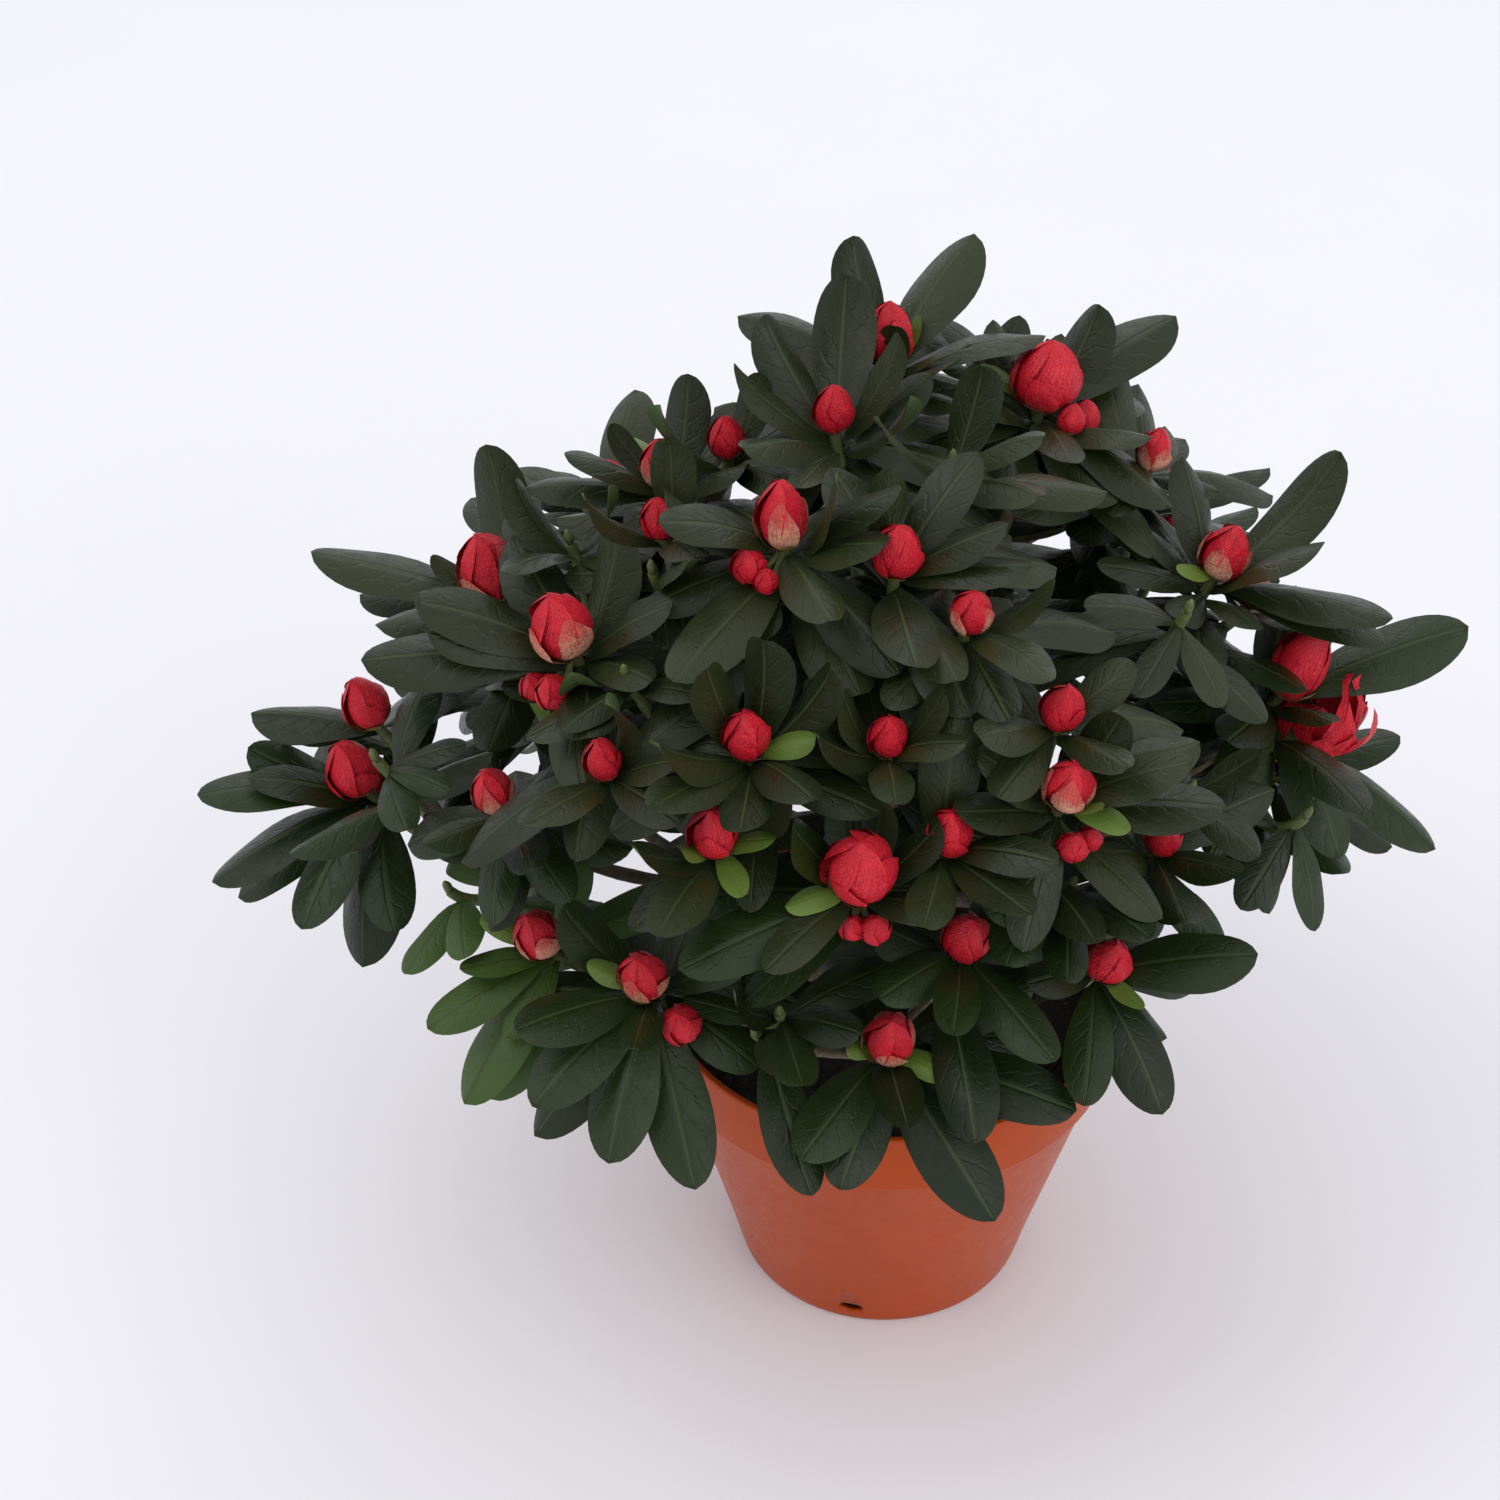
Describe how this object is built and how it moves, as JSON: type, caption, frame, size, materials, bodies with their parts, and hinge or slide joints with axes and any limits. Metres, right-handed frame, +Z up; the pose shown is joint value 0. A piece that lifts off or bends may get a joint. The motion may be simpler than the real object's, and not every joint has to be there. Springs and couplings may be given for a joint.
{
  "type": "potted azalea shrub",
  "caption": "Young evergreen azalea in bud: a domed crown of dark leaves on forking boughs, in a tapered plastic pot with a rim band.",
  "frame": {"origin": "middle of the pot's flat underside, on the ground", "axes": "+Z up along the pot's axis, -Y towards the front, the side with the lowest shoots over the rim"},
  "size_m": [0.3018, 0.2691, 0.2774],
  "materials": {
    "pot": "satin terracotta-coloured plastic",
    "soil": "moist dark peat",
    "bark": "rough grey-brown bark",
    "foliage": "dark green leaves with a soft sheen and crimson buds"
  },
  "bodies": {
    "root": {"pot": "pot", "root_ball": "soil", "trunk": "bark", "back_high": "foliage", "back_left": "foliage", "back_middle": "foliage", "back_right": "foliage", "back_skirt": "foliage", "back_skirt_left": "foliage", "back_skirt_right": "foliage", "bough_back_high": "bark", "bough_back_left": "bark", "bough_back_middle": "bark", "bough_back_right": "bark", "bough_back_skirt": "bark", "bough_back_skirt_left": "bark", "bough_back_skirt_right": "bark", "bough_high_front": "bark", "bough_high_right": "bark", "bough_left_arm": "bark", "bough_left_flank": "bark", "bough_left_shoulder": "bark", "bough_mid_front": "bark", "bough_mid_left": "bark", "bough_mid_right": "bark", "bough_right_arm": "bark", "bough_right_flank": "bark", "bough_right_shoulder": "bark", "bough_skirt_front": "bark", "bough_skirt_left": "bark", "bough_skirt_right": "bark", "bough_top_back": "bark", "bough_top_left": "bark", "bough_top_right": "bark", "bough_upper_left": "bark", "high_front": "foliage", "high_right": "foliage", "left_arm": "foliage", "left_flank": "foliage", "left_shoulder": "foliage", "mid_front": "foliage", "mid_left": "foliage", "mid_right": "foliage", "right_arm": "foliage", "right_flank": "foliage", "right_shoulder": "foliage", "skirt_front": "foliage", "skirt_left": "foliage", "skirt_right": "foliage", "top": "foliage", "top_back": "foliage", "top_left": "foliage", "top_right": "foliage", "upper_left": "foliage"}
  },
  "joints": []
}
